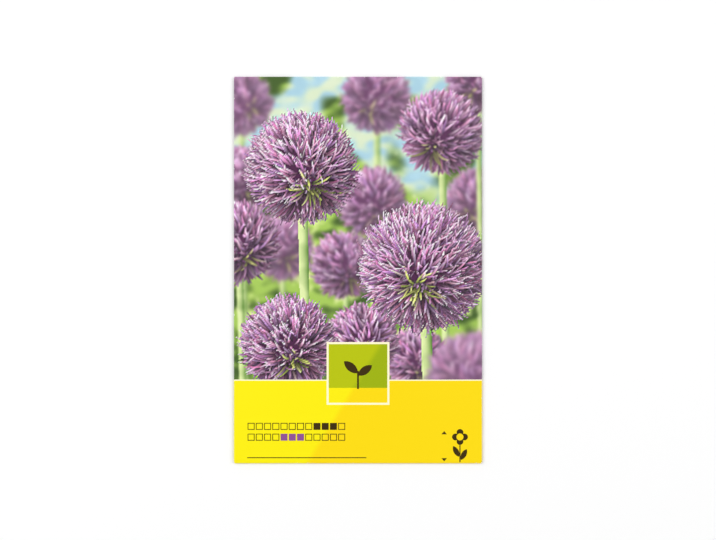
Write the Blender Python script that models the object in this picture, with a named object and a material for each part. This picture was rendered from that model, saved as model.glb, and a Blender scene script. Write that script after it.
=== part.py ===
"""Flower packet: one sheet of coated paper, folded round a flat front and glued behind.

The packet lies on its back with its printed front up and its top edge towards +Y. The sheet is laid
out as one surface, half a paper's thickness inside its faces, and Solidify gives it its thickness:

    front panel, which swells a little in the middle
    left and right back panels, folded under it along the long edges, overlapping in the back seam
    bottom and top flaps, folded under the back panels along the short edges

Metres, +Z up. The origin is the middle of the ground that the packet covers.
"""

import bmesh
import bpy
import numpy as np

# Driving dimensions
PACKET_WIDTH = 0.1100
PACKET_HEIGHT = 0.1715
PAPER = 0.00015
LAYER_GAP = 0.00015
FRONT_RISE = 0.0016
SEAM_OVERLAP = 0.012
SEAM_OFFSET = 0.010
BOTTOM_FLAP = 0.016
TOP_FLAP = 0.024
FLAP_TAPER = 0.006
PANEL_TAPER = 0.0015

# Divisions of the sheet
FRONT_COLUMNS = 16
FRONT_ROWS = 24
FOLD_STEPS = 5
PANEL_STEPS = 2

# Heights of the layers' middle surfaces, from the ground up: flaps, right panel, left panel, front
LAYER_PITCH = PAPER + LAYER_GAP
FLAP_LEVEL = PAPER / 2
RIGHT_LEVEL = FLAP_LEVEL + LAYER_PITCH
LEFT_LEVEL = RIGHT_LEVEL + LAYER_PITCH
FRONT_LEVEL = LEFT_LEVEL + LAYER_PITCH

PRINTED_PAPER = ((0.80, 0.62, 0.10, 1.0), 0.45)


def fold_radius(level):
    """Radius of the half circle that takes the front down to a layer at this height."""
    return (FRONT_LEVEL - level) / 2


# The front panel reaches from fold to fold, so that the folds' outsides give the packet's size
LEFT_EDGE = -PACKET_WIDTH / 2 + PAPER / 2 + fold_radius(LEFT_LEVEL)
RIGHT_EDGE = PACKET_WIDTH / 2 - PAPER / 2 - fold_radius(RIGHT_LEVEL)
BOTTOM_EDGE = -PACKET_HEIGHT / 2 + PAPER / 2 + fold_radius(FLAP_LEVEL)
TOP_EDGE = PACKET_HEIGHT / 2 - PAPER / 2 - fold_radius(FLAP_LEVEL)

# The seam's overlap lies off the middle, towards the right
SEAM_MIDDLE = SEAM_OFFSET
LEFT_PANEL = SEAM_MIDDLE + SEAM_OVERLAP / 2 - LEFT_EDGE
RIGHT_PANEL = RIGHT_EDGE - (SEAM_MIDDLE - SEAM_OVERLAP / 2)


def front_grid():
    """The front panel: x and y run evenly from fold to fold, and z swells by FRONT_RISE times
    (1 - a^2)^2 (1 - b^2)^2 with a and b from -1 to 1 across and along the panel, so that it leaves
    every fold level."""
    x = np.linspace(LEFT_EDGE, RIGHT_EDGE, FRONT_COLUMNS + 1)
    y = np.linspace(BOTTOM_EDGE, TOP_EDGE, FRONT_ROWS + 1)
    x, y = np.meshgrid(x, y)
    a = 2 * (x - LEFT_EDGE) / (RIGHT_EDGE - LEFT_EDGE) - 1
    b = 2 * (y - BOTTOM_EDGE) / (TOP_EDGE - BOTTOM_EDGE) - 1
    z = FRONT_LEVEL + FRONT_RISE * (1 - a**2)**2 * (1 - b**2)**2
    return np.stack([x, y, z], axis=-1)


def fold_profile(level, length):
    """The way of the paper past a fold: how far out it is from the fold's line, its height, and how
    far along the panel it lies. A half circle goes down to the level, then the panel runs back in."""
    radius = fold_radius(level)
    turn = np.linspace(0, np.pi, FOLD_STEPS + 1)[1:]
    run = np.linspace(0, length, PANEL_STEPS + 1)[1:]
    out = np.concatenate([radius * np.sin(turn), -run])
    height = np.concatenate([level + radius + radius * np.cos(turn), np.full(len(run), level)])
    along = np.concatenate([np.zeros(len(turn)), run])
    return out, height, along / length


def side_panel(edge_x, direction, level, length):
    """A back panel's points beyond the front's long edge, nearest the fold first. Its ends taper in
    by PANEL_TAPER, so they clear the folds of the flaps."""
    out, height, share = fold_profile(level, length)
    y = np.linspace(BOTTOM_EDGE, TOP_EDGE, FRONT_ROWS + 1)[:, None]
    y = y * (1 - share * PANEL_TAPER / TOP_EDGE)
    x = np.broadcast_to(edge_x + direction * out, y.shape)
    z = np.broadcast_to(height, y.shape)
    return np.stack([x, y, z], axis=-1)


def end_flap(edge_y, direction, length):
    """A flap's points beyond the front's short edge, nearest the fold first. It narrows by FLAP_TAPER
    at each side towards its free edge."""
    out, height, share = fold_profile(FLAP_LEVEL, length)
    x = np.linspace(LEFT_EDGE, RIGHT_EDGE, FRONT_COLUMNS + 1)[None, :]
    x = x * (1 - share[:, None] * FLAP_TAPER / RIGHT_EDGE)
    y = np.broadcast_to((edge_y + direction * out)[:, None], x.shape)
    z = np.broadcast_to(height[:, None], x.shape)
    return np.stack([x, y, z], axis=-1)


def add_quads(mesh, points):
    """Quads between neighbouring points of a grid. Points at the same place are merged later."""
    vertices = [[mesh.verts.new(point) for point in row] for row in points]
    for low, high in zip(vertices[:-1], vertices[1:]):
        for i in range(len(low) - 1):
            mesh.faces.new((low[i], low[i + 1], high[i + 1], high[i]))


def sheet_mesh():
    """The whole sheet as one surface with its printed side out."""
    front = front_grid()
    left = side_panel(LEFT_EDGE, -1, LEFT_LEVEL, LEFT_PANEL)[:, ::-1]
    right = side_panel(RIGHT_EDGE, 1, RIGHT_LEVEL, RIGHT_PANEL)
    bottom = end_flap(BOTTOM_EDGE, -1, BOTTOM_FLAP)[::-1]
    top = end_flap(TOP_EDGE, 1, TOP_FLAP)

    mesh = bmesh.new()
    add_quads(mesh, np.concatenate([left, front, right], axis=1))
    add_quads(mesh, np.concatenate([bottom, front[:1]], axis=0))
    add_quads(mesh, np.concatenate([front[-1:], top], axis=0))
    bmesh.ops.remove_doubles(mesh, verts=mesh.verts, dist=1e-6)

    data = bpy.data.meshes.new("packet_paper")
    mesh.to_mesh(data)
    mesh.free()
    return data


def paper_material():
    """Printed, coated paper."""
    colour, roughness = PRINTED_PAPER
    material = bpy.data.materials.new("printed_coated_paper")
    material.use_nodes = True
    shader = material.node_tree.nodes["Principled BSDF"]
    shader.inputs["Base Color"].default_value = colour
    shader.inputs["Roughness"].default_value = roughness
    shader.inputs["Metallic"].default_value = 0.0
    return material


def make_packet():
    """The folded sheet, given the paper's thickness."""
    data = sheet_mesh()
    data.materials.append(paper_material())
    packet = bpy.data.objects.new("packet_paper", data)
    bpy.context.collection.objects.link(packet)
    data.shade_smooth()

    solidify = packet.modifiers.new("paper_thickness", "SOLIDIFY")
    solidify.thickness = PAPER
    solidify.offset = 0.0
    solidify.use_even_offset = True
    solidify.use_rim = True
    return packet


for old in list(bpy.data.objects):
    bpy.data.objects.remove(old, do_unlink=True)
make_packet()
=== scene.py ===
"""Looks of the flower packet: one folded sheet of coated paper with a printed front.

The sheet is worked out flat, in sheet coordinates (u across, v along the packet, both 0 at the middle
of the front), and wrapped round the folds. The print lives in the same sheet coordinates, as it does
on the blank before it is folded.
"""

import bpy
import numpy as np
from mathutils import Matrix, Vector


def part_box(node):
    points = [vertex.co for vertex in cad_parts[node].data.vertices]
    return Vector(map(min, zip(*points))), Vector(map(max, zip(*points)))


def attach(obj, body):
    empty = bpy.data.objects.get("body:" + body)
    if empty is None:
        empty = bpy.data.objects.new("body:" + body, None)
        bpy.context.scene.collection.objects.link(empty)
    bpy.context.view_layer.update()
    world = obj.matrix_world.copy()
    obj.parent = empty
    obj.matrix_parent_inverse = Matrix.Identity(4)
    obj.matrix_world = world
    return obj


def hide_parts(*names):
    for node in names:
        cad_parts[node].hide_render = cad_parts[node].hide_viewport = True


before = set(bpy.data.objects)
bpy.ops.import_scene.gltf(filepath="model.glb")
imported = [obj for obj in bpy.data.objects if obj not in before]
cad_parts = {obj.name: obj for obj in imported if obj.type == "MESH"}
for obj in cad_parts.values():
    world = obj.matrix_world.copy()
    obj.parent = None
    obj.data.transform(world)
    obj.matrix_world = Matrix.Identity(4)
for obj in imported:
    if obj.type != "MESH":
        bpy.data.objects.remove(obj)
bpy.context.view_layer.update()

SHEET_LOW, SHEET_HIGH = (np.array(corner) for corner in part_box("packet_paper"))

# ---------------------------------------------------------------- sizes, in metres

PACKET_WIDTH = float(SHEET_HIGH[0] - SHEET_LOW[0])
PACKET_HEIGHT = float(SHEET_HIGH[1] - SHEET_LOW[1])
PAPER = 0.00015
LAYER_GAP = 0.00015
FRONT_RISE = 0.0015
WAVE_HEIGHT = 0.00006
SEAM_OVERLAP = 0.012
SEAM_OFFSET = 0.010
BOTTOM_FLAP = 0.016
TOP_FLAP = 0.024
FLAP_TAPER = 0.006
PANEL_TAPER = 0.0015
RIDGE_WIDTH = 0.0009
RIDGE_HEIGHT = 0.00005

# Heights of the layers' middle surfaces, from the ground up: flaps, right panel, left panel, front
LAYER_PITCH = PAPER + LAYER_GAP
FLAP_LEVEL = float(SHEET_LOW[2]) + PAPER / 2
RIGHT_LEVEL = FLAP_LEVEL + LAYER_PITCH
LEFT_LEVEL = RIGHT_LEVEL + LAYER_PITCH
FRONT_LEVEL = LEFT_LEVEL + LAYER_PITCH

# Radii of the folds, and the lines where the flat front ends and they begin
LEFT_RADIUS = (FRONT_LEVEL - LEFT_LEVEL) / 2
RIGHT_RADIUS = (FRONT_LEVEL - RIGHT_LEVEL) / 2
END_RADIUS = (FRONT_LEVEL - FLAP_LEVEL) / 2
LEFT_EDGE = -PACKET_WIDTH / 2 + PAPER / 2 + LEFT_RADIUS
RIGHT_EDGE = PACKET_WIDTH / 2 - PAPER / 2 - RIGHT_RADIUS
BOTTOM_EDGE = -PACKET_HEIGHT / 2 + PAPER / 2 + END_RADIUS
TOP_EDGE = PACKET_HEIGHT / 2 - PAPER / 2 - END_RADIUS
LEFT_PANEL = SEAM_OFFSET + SEAM_OVERLAP / 2 - LEFT_EDGE
RIGHT_PANEL = RIGHT_EDGE - (SEAM_OFFSET - SEAM_OVERLAP / 2)

# Divisions of the sheet's printed side: the picture's cells are about 0.44 mm, the rest is coarser.
# The bare inside keeps one line in ten. Places closer than TINY count as one.
PRINT_CELL = 0.00044
BAND_CELL = 0.0015
FOLD_STEPS = 8
PANEL_STEPS = 3
INSIDE_STRIDE = 10
TINY = 1e-9

# The printed design, in sheet coordinates
BAND_TOP = -0.0488
BAND_LINE = 0.0005
EMBLEM_CENTRE = (0.0, -0.0458)
EMBLEM_SIDE = 0.0278
EMBLEM_BORDER = 0.0009
EMBLEM_GROUND = 0.0075
CALENDAR_CORNER = (-0.0492, -0.0765)
CALENDAR_PITCH = (0.00365, 0.0048)
CALENDAR_CELL = (0.0031, 0.0031)
CALENDAR_LINE = 0.00035
RULE_CENTRE = (-0.0227, -0.0832)
RULE_SIZE = (0.0528, 0.0004)
PLANTING_MONTHS = (8, 10)
FLOWERING_MONTHS = (4, 6)
HEIGHT_MARK = (0.0452, -0.0740)

# How far the picture runs past the front's edges, and the slanting line where the inks change over:
# SLANT_SLOPE times the coordinate along, plus the one across, goes from start to end
PRINT_BLEED = 0.0012
SLANT_SLOPE = -0.62
SLANT_START = 0.0285
SLANT_END = 0.0325

# Fold wear: bare paper shows in spots between a rectangle smaller than the front and a larger one
CREASE_INSET = (0.00045, 0.0010)
CREASE_OUTSET = 0.0004
WEAR_SPOT = 0.0012
WEAR_LEVEL = 0.67

# Grain of the print's coating and of the bare paper
COAT_GRAIN = 0.0008
PAPER_FIBRE = 0.0004

# The floor, the camera and the lights: each softbox is its name, place and power in watts
FLOOR_HALF = 2.5
FLOOR_DROP = 0.00005
LENS = 0.085
SENSOR = 0.036
FRAME_WIDTH = 0.3174
WORLD_STRENGTH = 0.8
SOFTBOX_SIDE = 1.2
SOFTBOXES = [
    ("left_softbox", (-1.1, 0.5, 1.2), 15.5),
    ("right_softbox", (1.1, 0.2, 1.2), 10),
]

# ---------------------------------------------------------------- colours, as sRGB hex

# Inks and papers
LEMON_INK = "#F8EA00"
SUN_INK = "#F8D800"
LIME_INK = "#B5C000"
LEAF_INK = "#9BAF00"
CREAM_INK = "#FFF7D0"
UMBER_INK = "#3A2A00"
PLUM_INK = "#8C4F92"
PAPER_WHITE = "#F6F5F1"
FIBRE_GREY = "#E9E6DC"
BOARD_WHITE = "#F7F7F7"

# Paints of the picture
PETAL_ROSE = "#C4729F"
PETAL_MAUVE = "#A873B2"
PETAL_TIP = "#FFEAF6"
PETAL_SHADOW = "#4E2648"
BLOSSOM_HEART = "#CBD36B"
HAZE_PINK = "#C9A2C6"
STALK_SHADE = "#4E7A2C"
STALK_LIGHT = "#DDEBA8"
MEADOW_SHADE = "#46602C"
MEADOW_GREEN = "#A4C75A"
MEADOW_LIGHT = "#E6F0A6"
SKY_BLUE = "#AFD6EC"
SKY_CREAM = "#DCE8CF"


def srgb(hex_code):
    """A hex colour as three numbers from 0 to 1, still in sRGB."""
    return np.array([int(hex_code[i:i + 2], 16) / 255 for i in (1, 3, 5)])


def linear(colour):
    """sRGB to linear light: a straight part below 0.04045, and a 2.4 power above it."""
    colour = srgb(colour) if isinstance(colour, str) else colour
    return np.where(colour <= 0.04045, colour / 12.92, ((colour + 0.055) / 1.055) ** 2.4)


def ink(hex_code):
    """A hex colour as a linear colour with alpha, for a socket."""
    return (*linear(hex_code), 1.0)


# ---------------------------------------------------------------- the picture, painted on a canvas

CANVAS_CELL = 0.00016
CANVAS_MARGIN = 0.006
CANVAS_LEFT = -PACKET_WIDTH / 2 - CANVAS_MARGIN
CANVAS_BOTTOM = BAND_TOP - CANVAS_MARGIN
CANVAS_SHAPE = (
    int((PACKET_HEIGHT / 2 - BAND_TOP + 2 * CANVAS_MARGIN) / CANVAS_CELL),
    int((PACKET_WIDTH + 2 * CANVAS_MARGIN) / CANVAS_CELL),
)
CANVAS_Y = CANVAS_BOTTOM + (np.arange(CANVAS_SHAPE[0])[:, None] + 0.5) * CANVAS_CELL
CANVAS_X = CANVAS_LEFT + (np.arange(CANVAS_SHAPE[1])[None, :] + 0.5) * CANVAS_CELL

GOLDEN_ANGLE = np.pi * (3 - np.sqrt(5))
DOME_ANGLE = 2.2
PICTURE_SEED = 7

# The meadow's broad, medium and fine spots, how flat the medium ones are, and how far it is out of focus
MEADOW_SPOTS = (0.0045, 0.0022, 0.0009)
MEADOW_FLATNESS = 0.6
MEADOW_SOFTNESS = 0.0006

# A stalk's width as a share of its blossom's radius, and how far its foot is off to the side
STALK_SHARE = 0.17
STALK_SWAY = 0.002

# Sharpening: what this blur takes away is added again, this many times
SHARPEN_BLUR = 0.00035
SHARPEN_TIMES = 1.2

# How much haze lies over a blossom, for each metre of its softness
HAZE_PER_SOFTNESS = 400
SUNLIGHT = np.array([-0.45, 0.55, 0.70]) / np.linalg.norm([-0.45, 0.55, 0.70])

# The blossoms, from the farthest to the nearest. Each is its centre, radius, tilt about x and y in
# radians, number of petals, petal width and softness.
BLOSSOMS = [
    ((0.008, 0.076), 0.0160, (0.5, -0.3), 480, 0.0015, 0.00070),
    ((-0.052, 0.074), 0.0150, (0.2, 0.4), 480, 0.0015, 0.00080),
    ((0.054, 0.030), 0.0160, (0.5, -0.4), 480, 0.0015, 0.00070),
    ((-0.034, 0.010), 0.0150, (0.5, 0.3), 480, 0.0015, 0.00070),
    ((0.006, 0.030), 0.0160, (0.6, 0.3), 480, 0.0015, 0.00060),
    ((-0.052, 0.040), 0.0150, (0.6, 0.4), 520, 0.0015, 0.00055),
    ((0.053, 0.084), 0.0150, (0.6, -0.4), 520, 0.0015, 0.00055),
    ((-0.006, 0.002), 0.0155, (0.6, 0.3), 520, 0.0014, 0.00050),
    ((0.037, 0.061), 0.0190, (0.6, -0.35), 900, 0.0012, 0.00030),
    ((-0.053, 0.012), 0.0185, (0.6, 0.4), 900, 0.0012, 0.00025),
    ((0.026, -0.040), 0.0150, (0.6, 0.2), 700, 0.0012, 0.00035),
    ((0.002, -0.031), 0.0165, (0.6, 0.1), 800, 0.0011, 0.00018),
    ((-0.025, 0.045), 0.0250, (0.50, 0.25), 2000, 0.0009, 0.0),
    ((0.029, 0.001), 0.0285, (0.45, -0.15), 2600, 0.0009, 0.0),
    ((-0.031, -0.033), 0.0215, (0.5, 0.2), 1500, 0.0009, 0.0),
    ((0.050, -0.047), 0.0200, (0.5, -0.2), 560, 0.0016, 0.00085),
]


def mix(first, second, share):
    """Straight mix: first where share is 0, second where it is 1."""
    return first + (second - first) * share


def smooth_step(value, low, high):
    """0 below low, 1 above high, and t^2 (3 - 2 t) between them."""
    t = np.clip((value - low) / (high - low), 0, 1)
    return t * t * (3 - 2 * t)


def blur(image, size, stretch=1.0):
    """Gaussian blur of this standard deviation in metres: each frequency f is multiplied by
    exp(-2 (pi size f)^2), with the frequencies along y stretched."""
    along = np.fft.fftfreq(image.shape[0], CANVAS_CELL)[:, None] * stretch
    across = np.fft.rfftfreq(image.shape[1], CANVAS_CELL)[None, :]
    keep = np.exp(-2 * (np.pi * size) ** 2 * (along**2 + across**2))
    if image.ndim == 3:
        keep = keep[..., None]
    spectrum = np.fft.rfft2(image, axes=(0, 1)) * keep
    return np.fft.irfft2(spectrum, s=image.shape[:2], axes=(0, 1))


def cloud(rng, size, stretch=1.0):
    """A smooth random field with spots of about this size, of mean 0 and deviation 1."""
    field = blur(rng.standard_normal(CANVAS_SHAPE), size, stretch)
    return field / field.std()


def tilt_matrix(tilt_x, tilt_y):
    """Turns about x, then about y."""
    cos_x, sin_x = np.cos(tilt_x), np.sin(tilt_x)
    cos_y, sin_y = np.cos(tilt_y), np.sin(tilt_y)
    about_x = np.array([[1, 0, 0], [0, cos_x, -sin_x], [0, sin_x, cos_x]])
    about_y = np.array([[cos_y, 0, sin_y], [0, 1, 0], [-sin_y, 0, cos_y]])
    return about_y @ about_x


def window(centre, reach):
    """The canvas's rows and columns within reach of a point, as two slices."""
    row = np.array([centre[1] - reach[1] - CANVAS_BOTTOM, centre[1] + reach[1] - CANVAS_BOTTOM])
    column = np.array([centre[0] - reach[0] - CANVAS_LEFT, centre[0] + reach[0] - CANVAS_LEFT])
    rows = np.clip((row / CANVAS_CELL).astype(int), 0, CANVAS_SHAPE[0])
    columns = np.clip((column / CANVAS_CELL).astype(int), 0, CANVAS_SHAPE[1])
    return slice(*rows), slice(*columns)


def lay_over(picture, layer, place, softness):
    """Puts a layer of colour times cover, and cover, over its place in the picture, out of focus by
    softness."""
    if softness > 0:
        border = int(4 * softness / CANVAS_CELL)
        spread = np.pad(layer, ((border, border), (border, border), (0, 0)), mode="edge")
        layer = blur(spread, softness)[border:-border, border:-border]
    picture[place] = picture[place] * (1 - layer[..., 3:]) + layer[..., :3]


def aster(rng, centre, radius, tilt, petals, width, place, haze):
    """A round double aster as a layer of colour and cover.

    Petal i starts on a dome at the polar angle DOME_ANGLE sqrt((i + 0.5) / petals) and the azimuth i
    times the golden angle. Along t from 0 to 1 it leans away from the middle and rises from the dome to
    the blossom's outside, and s from -1 to 1 runs across it. Its points are put on the canvas from the
    deepest to the nearest.
    """
    i = np.arange(petals)[:, None, None]
    t = np.linspace(0, 1, max(8, int(radius * 0.42 / CANVAS_CELL * 1.2)))[None, :, None]
    s = np.linspace(-1, 1, max(4, int(width / CANVAS_CELL * 1.6)))[None, None, :]
    share = np.sqrt((i + 0.5) / petals)
    start = DOME_ANGLE * share
    jitter = rng.standard_normal((7, petals, 1, 1))

    # The place of each petal's points, in the blossom's own space and then tilted
    lean = 0.20 + 0.15 * jitter[0]
    polar = start + 0.04 * jitter[1] + lean * t**1.4
    azimuth = i * GOLDEN_ANGLE + (0.06 + 0.16 * t) * jitter[2] / (0.35 + np.sin(start))
    rise = 0.68 + (0.33 + 0.05 * jitter[3]) * t - 0.03 * t**3
    breadth = width * np.sin(np.pi * np.clip(t, 0.02, 0.98) ** 0.75) ** 0.8

    out = np.stack(np.broadcast_arrays(
        np.sin(polar) * np.cos(azimuth), np.sin(polar) * np.sin(azimuth), np.cos(polar)), axis=-1)
    sideways = np.stack(np.broadcast_arrays(-np.sin(azimuth), np.cos(azimuth), 0 * azimuth), axis=-1)
    turned = tilt_matrix(*tilt)
    points = (radius * rise[..., None] * out + (breadth * s / 2)[..., None] * sideways) @ turned.T

    # Their colour: lit from the upper left, dark at the foot, pale at the tip, green in the middle
    lit = np.clip(np.broadcast_to(out, points.shape) @ turned.T @ SUNLIGHT, -0.3, 1)
    tone = (0.80 + 0.40 * lit) * (0.30 + 0.80 * t) * (1 + 0.20 * jitter[4]) * (1 - 0.22 * s * s)
    hue = np.clip(0.5 + 0.35 * jitter[5], 0, 1)[..., None]
    colour = mix(srgb(PETAL_ROSE), srgb(PETAL_MAUVE), hue)
    paleness = np.clip((t**1.6 * (0.62 + 0.40 * jitter[6])), 0, 1)[..., None]
    colour = mix(colour, srgb(PETAL_TIP), 0.80 * paleness)
    heart = smooth_step(0.12 - share, 0, 0.05)[..., None]
    colour = mix(colour, srgb(BLOSSOM_HEART), 0.9 * heart)
    colour = colour * np.clip(tone, 0.05, 1.3)[..., None] + 0.03
    colour = np.broadcast_to(np.clip(mix(colour, srgb(HAZE_PINK), haze), 0, 1), points.shape)

    # The layer: a dark disc, and over it every point in the cell where it falls
    rows, columns = place
    shape = (rows.stop - rows.start, columns.stop - columns.start)
    from_centre = np.hypot(CANVAS_X[:, columns] - centre[0], CANVAS_Y[rows] - centre[1])
    layer = np.zeros((*shape, 4))
    layer[from_centre < 0.74 * radius] = (*mix(srgb(PETAL_SHADOW), srgb(HAZE_PINK), haze), 1)
    layer = layer.reshape(-1, 4)
    column = (centre[0] + points[..., 0] - CANVAS_LEFT) / CANVAS_CELL
    column = column.astype(int).ravel() - columns.start
    row = (centre[1] + points[..., 1] - CANVAS_BOTTOM) / CANVAS_CELL
    row = row.astype(int).ravel() - rows.start
    inside = (column >= 0) & (column < shape[1]) & (row >= 0) & (row < shape[0])
    order = np.argsort(points[..., 2].ravel()[inside], kind="stable")
    cell = (row[inside] * shape[1] + column[inside])[order]
    layer[cell, :3] = colour.reshape(-1, 3)[inside][order]
    layer[cell, 3] = 1
    return layer.reshape(*shape, 4)


def stalk(top, foot_x, width, place, ripple):
    """A round stalk as a layer: it runs from foot_x at the picture's foot to top, and its tone falls
    off from the light side with the distance a from its middle line."""
    y, x = CANVAS_Y[place[0]], CANVAS_X[:, place[1]]
    t = np.clip((y - CANVAS_BOTTOM) / (top[1] - CANVAS_BOTTOM), 0, 1)
    a = (x - mix(foot_x, top[0], t**1.3)) / (width / 2)
    cover = ((np.abs(a) < 1) & (y < top[1])).astype(float)[..., None]
    light = np.clip(0.80 - 0.40 * a - 0.25 * a * a + 0.08 * ripple[place], 0, 1)[..., None]
    colour = mix(srgb(STALK_SHADE), srgb(STALK_LIGHT), light)
    return np.concatenate([colour * cover, cover], axis=-1)


def meadow(broad, medium, fine):
    """Out-of-focus leaves below and pale sky above, from random fields of three sizes."""
    shade = smooth_step(medium + 0.5 * broad, -1.5, 1.3)[..., None]
    green = mix(srgb(MEADOW_SHADE), srgb(MEADOW_GREEN), shade)
    green = mix(green, srgb(MEADOW_LIGHT), 0.8 * smooth_step(broad + 0.6 * fine, 0.6, 2.0)[..., None])
    sky = mix(srgb(SKY_BLUE), srgb(SKY_CREAM), smooth_step(medium, -1, 1.4)[..., None])
    height = CANVAS_Y / 0.085 + 0.28 * broad + 0.20 * CANVAS_X / 0.055
    return mix(green, sky, 0.92 * smooth_step(height, 0.35, 0.75)[..., None])


def paint_picture():
    """The whole picture in sRGB: meadow, then asters on their stalks from the farthest to the nearest,
    and last a sharpening."""
    rng = np.random.default_rng(PICTURE_SEED)
    broad_spots, medium_spots, fine_spots = MEADOW_SPOTS
    broad = cloud(rng, broad_spots)
    medium = cloud(rng, medium_spots, MEADOW_FLATNESS)
    fine = cloud(rng, fine_spots)
    picture = blur(meadow(broad, medium, fine), MEADOW_SOFTNESS)
    for centre, radius, tilt, petals, width, softness in BLOSSOMS:
        stalk_width = STALK_SHARE * radius
        halfway = (centre[0], (centre[1] + CANVAS_BOTTOM) / 2)
        place = window(halfway, (0.003 + 2 * stalk_width, (centre[1] - CANVAS_BOTTOM) / 2))
        layer = stalk(centre, centre[0] + STALK_SWAY, stalk_width, place, medium)
        lay_over(picture, layer, place, softness + 0.0001)

        reach = 1.15 * radius + 3 * softness
        place = window(centre, (reach, reach))
        layer = aster(rng, centre, radius, tilt, petals, width, place, HAZE_PER_SOFTNESS * softness)
        lay_over(picture, layer, place, softness)
    detail = picture - blur(picture, SHARPEN_BLUR)
    return np.clip(picture + SHARPEN_TIMES * detail, 0, 1)


def read_canvas(picture, u, v):
    """The picture's colour at sheet coordinates, bilinear between the canvas's cells."""
    column = np.clip((u - CANVAS_LEFT) / CANVAS_CELL - 0.5, 0, CANVAS_SHAPE[1] - 1.001)
    row = np.clip((v - CANVAS_BOTTOM) / CANVAS_CELL - 0.5, 0, CANVAS_SHAPE[0] - 1.001)
    i, j = column.astype(int), row.astype(int)
    f, g = (column - i)[:, None], (row - j)[:, None]
    low = mix(picture[j, i], picture[j, i + 1], f)
    high = mix(picture[j + 1, i], picture[j + 1, i + 1], f)
    return mix(low, high, g)


# ---------------------------------------------------------------- the folded sheet

def stations(front, radii, panels):
    """Sheet coordinates along one direction: a panel, a fold, the front, a fold and a panel."""
    turn = np.linspace(0, np.pi, FOLD_STEPS + 1)[1:]
    run = np.linspace(0, 1, PANEL_STEPS + 1)[1:]
    before, after = (
        np.concatenate([radius * turn, radius * np.pi + panel * run])
        for radius, panel in zip(radii, panels)
    )
    return np.concatenate([front[0] - before[::-1], front, front[-1] + after])


def sheet_stations():
    """Every station across and along the sheet, with fine ones along the picture and coarser ones along
    the band below it."""
    columns = int(round((RIGHT_EDGE - LEFT_EDGE) / PRINT_CELL / INSIDE_STRIDE)) * INSIDE_STRIDE
    picture_rows = int((TOP_EDGE - BAND_TOP) / PRINT_CELL)
    band_rows = int((BAND_TOP - BOTTOM_EDGE) / BAND_CELL)
    across = np.linspace(LEFT_EDGE, RIGHT_EDGE, columns + 1)
    along = np.concatenate([
        np.linspace(BOTTOM_EDGE, BAND_TOP - PRINT_CELL, band_rows + 1),
        np.linspace(BAND_TOP, TOP_EDGE, picture_rows + 1),
    ])
    u = stations(across, (LEFT_RADIUS, RIGHT_RADIUS), (LEFT_PANEL, RIGHT_PANEL))
    v = stations(along, (END_RADIUS, END_RADIUS), (BOTTOM_FLAP, TOP_FLAP))
    return u, v


def inside_stations(count):
    """Which of this many stations the bare inside keeps: all in the folds and panels, and one in every
    INSIDE_STRIDE on the front."""
    margin = FOLD_STEPS + PANEL_STEPS
    kept = np.r_[:margin, margin:count - margin:INSIDE_STRIDE, count - margin - 1:count]
    return np.unique(kept)


def wrap(s, low, high, low_radius, high_radius, offset):
    """Takes a sheet coordinate round the folds. Up to low and high it stays as it is. Beyond them the
    paper turns through half a circle and runs back. Returns its place, how far it has dropped, and
    how far past the fold it is. Offset is the distance out from the paper's middle surface."""
    past = np.maximum(s - high, low - s)
    sign = np.where(s > 0, 1.0, -1.0)
    edge = np.where(s > 0, high, low)
    radius = np.where(s > 0, high_radius, low_radius)
    angle = np.clip(past / radius, 0, np.pi)
    back = np.maximum(past - np.pi * radius, 0)
    folded = past > 0
    place = np.where(folded, edge + sign * ((radius + offset) * np.sin(angle) - back), s)
    drop = np.where(folded, (radius + offset) * (1 - np.cos(angle)), 0)
    return place, drop, back


def sheet_points(u, v, offset):
    """The place of each point of the sheet.

    Across and along, the coordinates wrap round the folds. The front swells by FRONT_RISE times
    (1 - a^2)^1.5 (1 - b^2)^1.5, slow waves of less than a tenth of a millimetre run over it, and the
    free edges of the two flaps behind it press through as faint rounded ridges. Panels and flaps
    narrow towards their free edges.
    """
    x, x_drop, x_back = wrap(u, LEFT_EDGE, RIGHT_EDGE, LEFT_RADIUS, RIGHT_RADIUS, offset)
    y, y_drop, y_back = wrap(v, BOTTOM_EDGE, TOP_EDGE, END_RADIUS, END_RADIUS, offset)
    panel = np.where(u > 0, RIGHT_PANEL, LEFT_PANEL)
    flap = np.where(v > 0, TOP_FLAP, BOTTOM_FLAP)
    y = y * (1 - x_back / panel * PANEL_TAPER / TOP_EDGE)
    x = x * (1 - y_back / flap * FLAP_TAPER / RIGHT_EDGE)
    a = np.clip(2 * (u - LEFT_EDGE) / (RIGHT_EDGE - LEFT_EDGE) - 1, -1, 1)
    b = np.clip(2 * (v - BOTTOM_EDGE) / (TOP_EDGE - BOTTOM_EDGE) - 1, -1, 1)
    free = ((1 - a**2) * (1 - b**2)) ** 1.5
    waves = np.sin(5.1 * a + 2.3 * b + 0.6) + 0.7 * np.sin(3.2 * a - 6.4 * b + 2.0)
    flap_lines = np.exp(-((v - TOP_EDGE + TOP_FLAP) / RIDGE_WIDTH) ** 2)
    flap_lines += np.exp(-((v - BOTTOM_EDGE - BOTTOM_FLAP) / RIDGE_WIDTH) ** 2)
    ridges = RIDGE_HEIGHT * flap_lines * (1 - a**2)
    swell = FRONT_RISE * free + WAVE_HEIGHT * waves * free**0.5 + ridges
    z = FRONT_LEVEL + offset - x_drop - y_drop + swell
    return np.stack([x, y, z], axis=-1)


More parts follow.
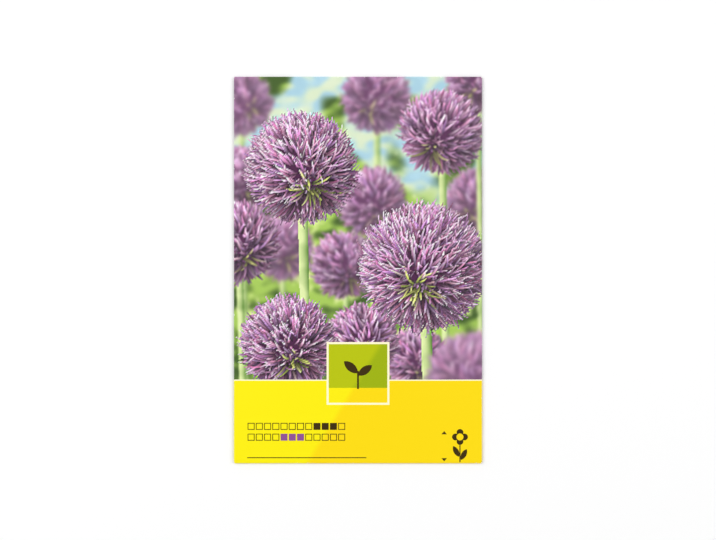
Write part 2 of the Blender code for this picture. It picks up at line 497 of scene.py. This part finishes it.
def number_sheet(u, v):
    """Numbers the points of a cross-shaped sheet: every station along by every station across, without
    the four corners where nothing is. Empty places hold -1."""
    on_front_u = (u >= LEFT_EDGE - TINY) & (u <= RIGHT_EDGE + TINY)
    on_front_v = (v >= BOTTOM_EDGE - TINY) & (v <= TOP_EDGE + TINY)
    filled = on_front_v[:, None] | on_front_u[None, :]
    numbers = np.full(filled.shape, -1)
    numbers[filled] = np.arange(filled.sum())
    return numbers


def cell_corners(numbers):
    """The four corner numbers of every filled cell, anticlockwise."""
    corners = [numbers[:-1, :-1], numbers[:-1, 1:], numbers[1:, 1:], numbers[1:, :-1]]
    corners = np.stack(corners, axis=-1).reshape(-1, 4)
    return corners[(corners >= 0).all(axis=1)]


def rim_loop(numbers, u, v):
    """The numbers of the points round the sheet's cut edge, anticlockwise, and the row and column of
    each."""
    left, right = np.searchsorted(u, [LEFT_EDGE - TINY, RIGHT_EDGE - TINY])
    low, high = np.searchsorted(v, [BOTTOM_EDGE - TINY, TOP_EDGE - TINY])
    last_u, last_v = len(u) - 1, len(v) - 1
    turns = [
        (0, left), (0, right), (low, right), (low, last_u), (high, last_u), (high, right),
        (last_v, right), (last_v, left), (high, left), (high, 0), (low, 0), (low, left), (0, left),
    ]
    loop = []
    for (row, column), (next_row, next_column) in zip(turns[:-1], turns[1:]):
        steps = max(abs(next_row - row), abs(next_column - column))
        rows = np.linspace(row, next_row, steps + 1).astype(int)[:-1]
        columns = np.linspace(column, next_column, steps + 1).astype(int)[:-1]
        loop.append(np.stack([rows, columns], axis=-1))
    loop = np.concatenate(loop)
    return numbers[loop[:, 0], loop[:, 1]], loop


def match_rims(fine_places, coarse_places, keep_u, keep_v, width):
    """Where each point of the coarse loop is in the fine loop. Both are told apart by their row times
    the fine side's width, plus their column."""
    fine_codes = fine_places[:, 0] * width + fine_places[:, 1]
    coarse_codes = keep_v[coarse_places[:, 0]] * width + keep_u[coarse_places[:, 1]]
    order = np.argsort(fine_codes)
    return order[np.searchsorted(fine_codes[order], coarse_codes)]


def zip_rims(fine, coarse, matches):
    """Triangles between a fine loop and a coarse one. matches gives each coarse point's place in the
    fine loop. Each fine edge joins the coarse point nearest along the loop, and each coarse edge joins
    the fine point half way between its own two."""
    count = len(fine)
    next_match = np.append(matches[1:], matches[0] + count)
    halfway = (matches + next_match) // 2
    edge = np.arange(count)
    owner = np.searchsorted(halfway, edge, side="right") % len(coarse)
    along_fine = np.stack([np.roll(fine, -1), fine, coarse[owner]], axis=-1)
    along_coarse = np.stack([coarse, np.roll(coarse, -1), fine[halfway % count]], axis=-1)
    return np.concatenate([along_fine, along_coarse])


def make_mesh(name, points, quads, triangles, slots):
    """A mesh from arrays: quads, then triangles, with a material slot for each face."""
    mesh = bpy.data.meshes.new(name)
    mesh.vertices.add(len(points))
    mesh.vertices.foreach_set("co", points.astype(np.float32).ravel())
    corners = np.concatenate([quads.ravel(), triangles.ravel()])
    mesh.loops.add(len(corners))
    mesh.loops.foreach_set("vertex_index", corners.astype(np.int32))
    starts = np.concatenate([
        np.arange(len(quads)) * 4,
        len(quads) * 4 + np.arange(len(triangles)) * 3,
    ])
    mesh.polygons.add(len(starts))
    mesh.polygons.foreach_set("loop_start", starts.astype(np.int32))
    mesh.polygons.foreach_set("material_index", slots.astype(np.int32))
    mesh.update(calc_edges=True)
    mesh.validate()
    mesh.shade_smooth()
    return mesh


def keep_attribute(mesh, name, kind, key, values):
    """Keeps one row of values for each vertex, under a name that the materials read."""
    attribute = mesh.attributes.new(name, kind, "POINT")
    attribute.data.foreach_set(key, values.astype(np.float32).ravel())


def make_packet():
    """The folded sheet as one closed skin: a fine printed side, a coarse inside, and the cut edge
    zipped between them. Each vertex keeps its sheet coordinates and the picture's colour there."""
    u, v = sheet_stations()
    keep_u, keep_v = inside_stations(len(u)), inside_stations(len(v))
    outside = number_sheet(u, v)
    inside = number_sheet(u[keep_u], v[keep_v])
    inside = np.where(inside >= 0, inside + outside.max() + 1, -1)

    outer_u, outer_v = np.meshgrid(u, v)
    inner_u, inner_v = np.meshgrid(u[keep_u], v[keep_v])
    flat_u = np.concatenate([outer_u[outside >= 0], inner_u[inside >= 0]])
    flat_v = np.concatenate([outer_v[outside >= 0], inner_v[inside >= 0]])
    offset = np.where(np.arange(len(flat_u)) <= outside.max(), PAPER / 2, -PAPER / 2)
    points = sheet_points(flat_u, flat_v, offset)

    fine_loop, fine_places = rim_loop(outside, u, v)
    coarse_loop, coarse_places = rim_loop(inside, u[keep_u], v[keep_v])
    matches = match_rims(fine_places, coarse_places, keep_u, keep_v, len(u))

    printed = cell_corners(outside)
    bare = cell_corners(inside)[:, ::-1]
    rim = zip_rims(fine_loop, coarse_loop, matches)
    slots = np.concatenate([np.zeros(len(printed)), np.ones(len(bare) + len(rim))])
    mesh = make_mesh("packet", points, np.concatenate([printed, bare]), rim, slots)

    places = np.stack([flat_u, flat_v, 0 * flat_u], axis=-1)
    keep_attribute(mesh, "sheet", "FLOAT_VECTOR", "vector", places)
    tint = linear(read_canvas(paint_picture(), flat_u, flat_v))
    tint = np.concatenate([tint, np.ones((len(tint), 1))], axis=-1)
    keep_attribute(mesh, "picture", "FLOAT_COLOR", "color", tint)
    return mesh


# ---------------------------------------------------------------- materials

def add_node(tree, kind, inputs=None, output=0, **settings):
    """Adds a node with its settings, links or fills its inputs, and returns one of its outputs."""
    node = tree.nodes.new(kind)
    for name, value in settings.items():
        setattr(node, name, value)
    for key, value in (inputs or {}).items():
        if isinstance(value, bpy.types.NodeSocket):
            tree.links.new(value, node.inputs[key])
        else:
            node.inputs[key].default_value = value
    return node.outputs[output]


def rectangle(tree, point, centre, size):
    """1 inside a rectangle: the larger of |x| / (width / 2) and |y| / (height / 2) is below 1."""
    apart = add_node(tree, "ShaderNodeVectorMath", {0: point, 1: (*centre, 0)}, operation="SUBTRACT")
    apart = add_node(tree, "ShaderNodeVectorMath", {0: apart}, operation="ABSOLUTE")
    apart = add_node(tree, "ShaderNodeVectorMath", {0: apart, 1: (size[0] / 2, size[1] / 2, 1)},
                     operation="DIVIDE")
    across = add_node(tree, "ShaderNodeSeparateXYZ", {0: apart}, "X")
    along = add_node(tree, "ShaderNodeSeparateXYZ", {0: apart}, "Y")
    largest = add_node(tree, "ShaderNodeMath", {0: across, 1: along}, operation="MAXIMUM")
    return add_node(tree, "ShaderNodeMath", {0: largest, 1: 1.0}, operation="LESS_THAN")


def disc(tree, point, centre, radius):
    """1 inside a circle."""
    distance = add_node(tree, "ShaderNodeVectorMath", {0: point, 1: (*centre, 0)}, "Value",
                        operation="DISTANCE")
    return add_node(tree, "ShaderNodeMath", {0: distance, 1: radius}, operation="LESS_THAN")


def leaf(tree, point, foot, tip, fatness):
    """1 inside a pointed leaf from foot to tip: where two equal circles through both overlap."""
    foot, tip = np.array(foot), np.array(tip)
    half = np.linalg.norm(tip - foot) / 2
    side = np.array([foot[1] - tip[1], tip[0] - foot[0]]) / (2 * half)
    away = half * (1 - fatness**2) / (2 * fatness)
    radius = float(np.hypot(half, away))
    middle = (foot + tip) / 2
    one = disc(tree, point, middle + side * away, radius)
    other = disc(tree, point, middle - side * away, radius)
    return add_node(tree, "ShaderNodeMath", {0: one, 1: other}, operation="MULTIPLY")


def arrowhead(tree, point, tip, height, half_width):
    """1 inside a triangle whose tip is up for a positive height: |x| is below the share of the way
    from the tip to the base, times half the base."""
    apart = add_node(tree, "ShaderNodeVectorMath", {0: point, 1: (*tip, 0)}, operation="SUBTRACT")
    across = add_node(tree, "ShaderNodeSeparateXYZ", {0: apart}, "X")
    across = add_node(tree, "ShaderNodeMath", {0: across}, operation="ABSOLUTE")
    along = add_node(tree, "ShaderNodeSeparateXYZ", {0: apart}, "Y")
    share = add_node(tree, "ShaderNodeMath", {0: along, 1: -height}, operation="DIVIDE")
    room = add_node(tree, "ShaderNodeMath", {0: share, 1: half_width}, operation="MULTIPLY")
    within = add_node(tree, "ShaderNodeMath", {0: across, 1: room}, operation="LESS_THAN")
    above_base = add_node(tree, "ShaderNodeMath", {0: share, 1: 1.0}, operation="LESS_THAN")
    return add_node(tree, "ShaderNodeMath", {0: within, 1: above_base}, operation="MULTIPLY")


def joined(tree, masks, operation="MAXIMUM"):
    """Several masks as one: any of them with MAXIMUM, all of them with MULTIPLY."""
    whole = masks[0]
    for mask in masks[1:]:
        whole = add_node(tree, "ShaderNodeMath", {0: whole, 1: mask}, operation=operation)
    return whole


def height_mark(tree, point):
    """The common sign for a plant's height: a flower with four round petals on a stalk with two
    leaves, between an arrowhead up and one down."""
    x, y = HEIGHT_MARK
    apart = add_node(tree, "ShaderNodeVectorMath", {0: point, 1: (x, y, 0)}, operation="SUBTRACT")
    folded = add_node(tree, "ShaderNodeVectorMath", {0: apart}, operation="ABSOLUTE")
    petals = joined(tree, [
        disc(tree, folded, (0.0020, 0.0), 0.0015),
        disc(tree, folded, (0.0, 0.0020), 0.0015),
    ])
    eye = disc(tree, folded, (0.0, 0.0), 0.00155)
    blossom = add_node(tree, "ShaderNodeMath", {0: petals, 1: eye}, operation="SUBTRACT",
                       use_clamp=True)
    return joined(tree, [
        blossom,
        rectangle(tree, point, (x, y - 0.0073), (0.0005, 0.0078)),
        leaf(tree, point, (x - 0.0004, y - 0.0088), (x - 0.0030, y - 0.0040), 0.42),
        leaf(tree, point, (x + 0.0004, y - 0.0102), (x + 0.0030, y - 0.0054), 0.42),
        arrowhead(tree, point, (x - 0.0070, y + 0.0026), 0.0014, 0.0012),
        arrowhead(tree, point, (x - 0.0070, y - 0.0108), -0.0014, 0.0012),
    ])


def calendar_cells(tree, point, size):
    """Twelve boxes of this size in each of two rows, as on a planting calendar: one box, repeated by
    wrapping the point into one cell of the calendar."""
    corner_x, corner_y = CALENDAR_CORNER
    pitch_x, pitch_y = CALENDAR_PITCH
    apart = add_node(tree, "ShaderNodeVectorMath", {0: point, 1: (corner_x, corner_y, 0)},
                     operation="SUBTRACT")
    wrapped = add_node(tree, "ShaderNodeVectorMath", {0: apart, 1: (pitch_x, pitch_y, 1), 2: (0, 0, 0)},
                       operation="WRAP")
    cell = rectangle(tree, wrapped, (pitch_x / 2, pitch_y / 2), size)
    centre = (corner_x + 6 * pitch_x, corner_y + pitch_y)
    whole = rectangle(tree, point, centre, (12 * pitch_x, 2 * pitch_y))
    return joined(tree, [cell, whole], "MULTIPLY")


def months(tree, point, row, first, last):
    """1 over the calendar's months first to last, from 0, in one row."""
    corner_x, corner_y = CALENDAR_CORNER
    pitch_x, pitch_y = CALENDAR_PITCH
    centre = (corner_x + (first + last + 1) / 2 * pitch_x, corner_y + (row + 0.5) * pitch_y)
    return rectangle(tree, point, centre, ((last - first + 1) * pitch_x, pitch_y))


def seedling(tree, point):
    """A seedling: a short stalk with two leaves, standing on the emblem's ground."""
    x, y = EMBLEM_CENTRE
    foot = y - EMBLEM_SIDE / 2 + EMBLEM_GROUND
    return joined(tree, [
        rectangle(tree, point, (x, foot + 0.0035), (0.0008, 0.0080)),
        leaf(tree, point, (x, foot + 0.0065), (x - 0.0062, foot + 0.0118), 0.45),
        leaf(tree, point, (x, foot + 0.0055), (x + 0.0062, foot + 0.0100), 0.45),
    ])


def slanting_inks(tree, point):
    """The band's yellow and the emblem's green. Both change over along one soft slanting line."""
    across = add_node(tree, "ShaderNodeSeparateXYZ", {0: point}, "X")
    along = add_node(tree, "ShaderNodeSeparateXYZ", {0: point}, "Y")
    slant = add_node(tree, "ShaderNodeMath", {0: along, 1: SLANT_SLOPE, 2: across},
                     operation="MULTIPLY_ADD")
    share = add_node(tree, "ShaderNodeMapRange", {
        "Value": slant, "From Min": SLANT_START, "From Max": SLANT_END}, interpolation_type="SMOOTHSTEP")
    yellow = add_node(tree, "ShaderNodeMix", {0: share, 6: ink(LEMON_INK), 7: ink(SUN_INK)}, 2,
                      data_type="RGBA")
    green = add_node(tree, "ShaderNodeMix", {0: share, 6: ink(LIME_INK), 7: ink(LEAF_INK)}, 2,
                     data_type="RGBA")
    return yellow, green


def picture_area(tree, point):
    """1 where the picture is printed: above the band, on the front and just round its folds."""
    front = rectangle(tree, point, (0, 0), (PACKET_WIDTH + 2 * PRINT_BLEED, PACKET_HEIGHT + 2 * PRINT_BLEED))
    along = add_node(tree, "ShaderNodeSeparateXYZ", {0: point}, "Y")
    above = add_node(tree, "ShaderNodeMath", {0: along, 1: BAND_TOP}, operation="GREATER_THAN")
    return joined(tree, [front, above], "MULTIPLY")


def emblem_layers(tree, point, yellow, green):
    """The emblem's masks and colours: a cream square, a green one in it, yellow ground, a seedling."""
    x, y = EMBLEM_CENTRE
    inner = EMBLEM_SIDE - 2 * EMBLEM_BORDER
    ground = EMBLEM_GROUND - EMBLEM_BORDER
    return [
        (rectangle(tree, point, (x, y), (EMBLEM_SIDE, EMBLEM_SIDE)), ink(CREAM_INK)),
        (rectangle(tree, point, (x, y), (inner, inner)), green),
        (rectangle(tree, point, (x, y - inner / 2 + ground / 2), (inner, ground)), yellow),
        (seedling(tree, point), ink(UMBER_INK)),
    ]


def calendar_layers(tree, point):
    """The calendar's masks and colours: the frames of all its boxes, and the boxes that are filled."""
    cells = calendar_cells(tree, point, CALENDAR_CELL)
    hollows = calendar_cells(tree, point, [side - 2 * CALENDAR_LINE for side in CALENDAR_CELL])
    frames = add_node(tree, "ShaderNodeMath", {0: cells, 1: hollows}, operation="SUBTRACT")
    planting = joined(tree, [cells, months(tree, point, 1, *PLANTING_MONTHS)], "MULTIPLY")
    flowering = joined(tree, [cells, months(tree, point, 0, *FLOWERING_MONTHS)], "MULTIPLY")
    return [(frames, ink(UMBER_INK)), (planting, ink(UMBER_INK)), (flowering, ink(PLUM_INK))]


def fold_wear(tree, point):
    """1 in the spots along the folds where the ink has cracked off and the paper shows."""
    spots = add_node(tree, "ShaderNodeTexNoise", {
        "Vector": point, "Scale": 1 / WEAR_SPOT, "Detail": 4.0}, "Fac")
    worn = add_node(tree, "ShaderNodeMath", {0: spots, 1: WEAR_LEVEL}, operation="GREATER_THAN")
    within = rectangle(tree, point, (0, 0), (PACKET_WIDTH - CREASE_INSET[0], PACKET_HEIGHT - CREASE_INSET[1]))
    beyond = rectangle(tree, point, (0, 0), (PACKET_WIDTH + CREASE_OUTSET, PACKET_HEIGHT + CREASE_OUTSET))
    crease = add_node(tree, "ShaderNodeMath", {0: beyond, 1: within}, operation="SUBTRACT")
    return joined(tree, [crease, worn], "MULTIPLY")


def printed_colour(tree, point):
    """The whole print, ink over ink: band, picture, line, emblem, calendar, rule and height mark, with
    worn folds over all of it."""
    yellow, green = slanting_inks(tree, point)
    picture = add_node(tree, "ShaderNodeAttribute", output="Color", attribute_name="picture")
    edge_line = rectangle(tree, point, (0, BAND_TOP), (PACKET_WIDTH + 2 * PRINT_BLEED, BAND_LINE))
    layers = [
        (picture_area(tree, point), picture),
        (edge_line, ink(CREAM_INK)),
        *emblem_layers(tree, point, yellow, green),
        *calendar_layers(tree, point),
        (rectangle(tree, point, RULE_CENTRE, RULE_SIZE), ink(UMBER_INK)),
        (height_mark(tree, point), ink(UMBER_INK)),
        (fold_wear(tree, point), ink(PAPER_WHITE)),
    ]
    colour = yellow
    for mask, over in layers:
        colour = add_node(tree, "ShaderNodeMix", {0: mask, 6: colour, 7: over}, 2, data_type="RGBA")
    return colour


def new_material(name):
    """An empty material, its tree and its Principled shader."""
    material = bpy.data.materials.new(name)
    material.use_nodes = True
    return material, material.node_tree, material.node_tree.nodes["Principled BSDF"]


def printed_paper():
    """Coated art paper, offset printed and sealed with a satin varnish: flat full colour with a soft
    sheen, and the faint unevenness of the coat."""
    material, tree, shader = new_material("satin_coated_printed_paper")
    point = add_node(tree, "ShaderNodeAttribute", output="Vector", attribute_name="sheet")
    tree.links.new(printed_colour(tree, point), shader.inputs["Base Color"])
    shader.inputs["IOR"].default_value = 1.5
    shader.inputs["Specular IOR Level"].default_value = 0.3
    coat = add_node(tree, "ShaderNodeTexNoise", {
        "Vector": point, "Scale": 1 / COAT_GRAIN, "Detail": 3.0}, "Fac")
    roughness = add_node(tree, "ShaderNodeMapRange", {"Value": coat, "To Min": 0.36, "To Max": 0.50})
    tree.links.new(roughness, shader.inputs["Roughness"])
    bump = add_node(tree, "ShaderNodeBump", {
        "Height": coat, "Strength": 0.15, "Distance": 0.00002}, "Normal")
    tree.links.new(bump, shader.inputs["Normal"])
    return material


def bare_paper():
    """The paper's uncoated inside and cut edge: matt, warm white, with fine fibres."""
    material, tree, shader = new_material("bare_white_paper")
    place = add_node(tree, "ShaderNodeTexCoord", output="Object")
    fibres = add_node(tree, "ShaderNodeTexNoise", {
        "Vector": place, "Scale": 1 / PAPER_FIBRE, "Detail": 4.0}, "Fac")
    colour = add_node(tree, "ShaderNodeMix", {0: fibres, 6: ink(FIBRE_GREY), 7: ink(PAPER_WHITE)}, 2,
                      data_type="RGBA")
    tree.links.new(colour, shader.inputs["Base Color"])
    shader.inputs["Roughness"].default_value = 0.85
    return material


def floor_material():
    """Matt white board: no gloss, so the packet has no mirror image in it."""
    material, tree, shader = new_material("matt_white_board")
    shader.inputs["Base Color"].default_value = ink(BOARD_WHITE)
    shader.inputs["Roughness"].default_value = 0.9
    return material


# ---------------------------------------------------------------- the scene

def add_object(name, data):
    """Puts data into the scene as an object at the origin."""
    made = bpy.data.objects.new(name, data)
    bpy.context.scene.collection.objects.link(made)
    return made


def add_camera():
    """A camera straight above the packet's middle, its top towards the packet's top edge."""
    data = bpy.data.cameras.new("camera")
    data.lens = LENS * 1000
    data.sensor_width = SENSOR * 1000
    data.clip_end = 100
    camera = add_object("camera", data)
    camera.location = (0, 0, FRONT_LEVEL + FRAME_WIDTH * LENS / SENSOR)
    bpy.context.scene.camera = camera


def add_softbox(name, place, power):
    """A square area light that faces the packet."""
    data = bpy.data.lights.new(name, "AREA")
    data.size = SOFTBOX_SIDE
    data.energy = power
    light = add_object(name, data)
    light.location = place
    direction = -np.array(place, dtype=float)
    horizontal = np.hypot(direction[0], direction[1])
    light.rotation_euler = (
        float(np.arctan2(horizontal, -direction[2])),
        0,
        float(np.arctan2(direction[1], direction[0]) - np.pi / 2),
    )


def add_floor():
    """A square board just under the packet."""
    corners = [(-1, -1), (1, -1), (1, 1), (-1, 1)]
    places = [(FLOOR_HALF * x, FLOOR_HALF * y, -FLOOR_DROP) for x, y in corners]
    mesh = bpy.data.meshes.new("floor")
    mesh.from_pydata(places, [], [(0, 1, 2, 3)])
    mesh.materials.append(floor_material())
    return add_object("floor", mesh)


def add_world():
    """Even white light from all round, but for the dark ceiling that the camera hangs from: full
    below 45 degrees up, and dark from 65 degrees up to the zenith."""
    world = bpy.data.worlds.new("studio")
    world.use_nodes = True
    tree = world.node_tree
    background = tree.nodes["Background"]
    direction = add_node(tree, "ShaderNodeTexCoord", output="Generated")
    upwards = add_node(tree, "ShaderNodeSeparateXYZ", {0: direction}, "Z")
    white = add_node(tree, "ShaderNodeMapRange", {
        "Value": upwards, "From Min": 0.70, "From Max": 0.91, "To Min": 1.0, "To Max": 0.03})
    tree.links.new(white, background.inputs["Color"])
    background.inputs["Strength"].default_value = WORLD_STRENGTH
    bpy.context.scene.world = world


packet = add_object("packet", make_packet())
packet.data.materials.append(printed_paper())
packet.data.materials.append(bare_paper())
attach(packet, "root")
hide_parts("packet_paper")

floor = add_floor()

add_camera()
add_world()
for softbox in SOFTBOXES:
    add_softbox(*softbox)
bpy.context.scene.view_settings.view_transform = "Standard"
